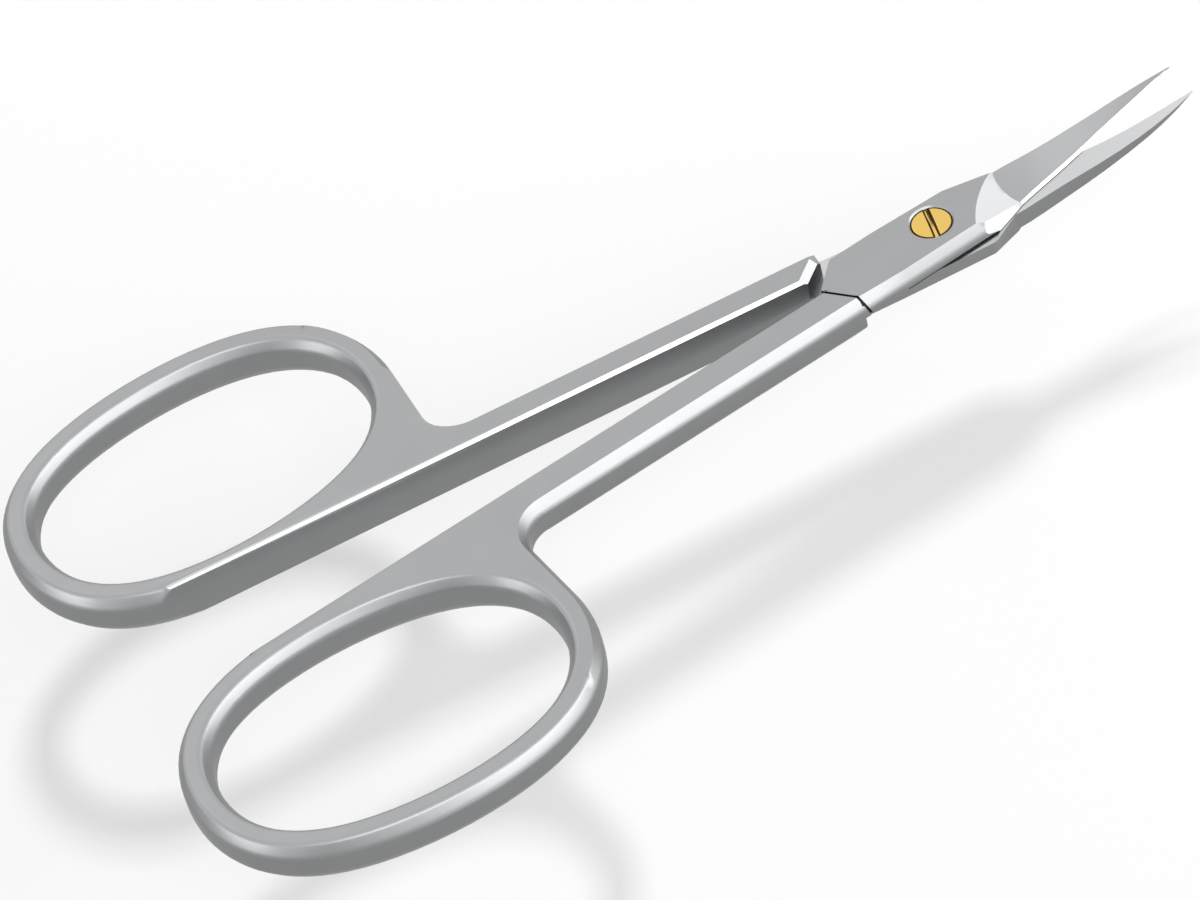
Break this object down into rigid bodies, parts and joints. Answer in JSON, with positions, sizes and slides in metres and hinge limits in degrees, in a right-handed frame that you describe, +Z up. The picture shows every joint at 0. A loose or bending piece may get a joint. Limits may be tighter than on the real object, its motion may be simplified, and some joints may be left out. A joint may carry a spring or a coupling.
{
  "type": "cuticle scissors",
  "caption": "Fine-pointed cuticle scissors with bevelled oval finger rings, straight shanks and slim up-curved blades that turn on a slotted pivot screw.",
  "frame": {"origin": "on the pivot axis, in the plane of the flat under-faces that the closed or open pair rests on", "axes": "+X along the middle of the pair towards the points, +Y towards the back half's finger ring, +Z up out of the screw's slotted head"},
  "size_m": [0.0889, 0.0502, 0.0039],
  "materials": {
    "steel": "satin",
    "gold_screw": "polished"
  },
  "bodies": {
    "back": {"back_half": "steel", "pivot_screw": "gold_screw"},
    "front": {"front_half": "steel"}
  },
  "joints": [
    {"name": "pivot", "type": "hinge", "parent": "back", "child": "front", "pos_m": [0, 0, 0], "axis": [0, 0, 1], "range_deg": [-8.2, 120]}
  ]
}
